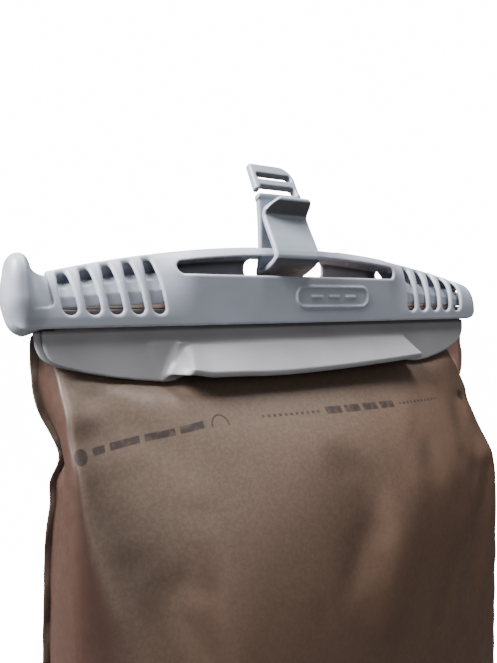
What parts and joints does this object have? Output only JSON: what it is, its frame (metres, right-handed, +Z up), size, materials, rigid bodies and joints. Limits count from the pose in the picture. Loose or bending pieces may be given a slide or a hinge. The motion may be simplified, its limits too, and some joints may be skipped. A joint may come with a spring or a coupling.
{
  "type": "hydration bladder",
  "caption": "Fold-over film water reservoir with a slide seal bar, a hanging hook on its handle rail and a quick-release outlet port.",
  "frame": {"origin": "middle of the handle rail that the hanging hook turns on", "axes": "+X along the slide bar towards its open end, -Y to the front, +Z up"},
  "size_m": [0.1978, 0.0919, 0.3983],
  "materials": {
    "bar_plastic": "satin moulded",
    "hook_plastic": "satin moulded",
    "lip_plastic": "satin moulded",
    "film": "satin translucent film",
    "bead_plastic": "satin moulded",
    "port_plastic": "satin moulded",
    "button_plastic": "satin moulded",
    "seal_rubber": "matt",
    "spring_steel": "drawn wire"
  },
  "bodies": {
    "hanger": {"hanging_hook": "hook_plastic"},
    "slider": {"slide_seal_bar": "bar_plastic"},
    "reservoir": {"front_film": "film", "back_film": "film", "outer_mouth_lip": "lip_plastic", "inner_mouth_lip": "lip_plastic", "fold_bead": "bead_plastic", "port_flange": "port_plastic", "port_gasket": "seal_rubber", "socket_body": "port_plastic", "plug_seal": "seal_rubber", "valve_cage": "bead_plastic", "button_spring": "spring_steel", "poppet_spring": "spring_steel"},
    "button": {"release_button": "button_plastic"},
    "poppet": {"valve_poppet": "bead_plastic", "poppet_seal": "seal_rubber"}
  },
  "joints": [
    {"name": "rail_swing", "type": "hinge", "parent": "hanger", "child": "slider", "pos_m": [0, 0, 0], "axis": [1, 0, 0], "range_deg": [-25, 15]},
    {"name": "slider_travel", "type": "slide", "parent": "slider", "child": "reservoir", "axis": [1, 0, 0], "range_m": [0, 0.19]},
    {"name": "button_press", "type": "slide", "parent": "reservoir", "child": "button", "axis": [0, 0, -1], "range_m": [0, 0.002], "stiffness_N_per_m": 600, "springref_m": -0.0015, "deforming": ["button_spring"]},
    {"name": "poppet_travel", "type": "slide", "parent": "reservoir", "child": "poppet", "axis": [0, 1, 0], "range_m": [0, 0.0025], "stiffness_N_per_m": 500, "springref_m": -0.002, "deforming": ["poppet_spring"]}
  ]
}
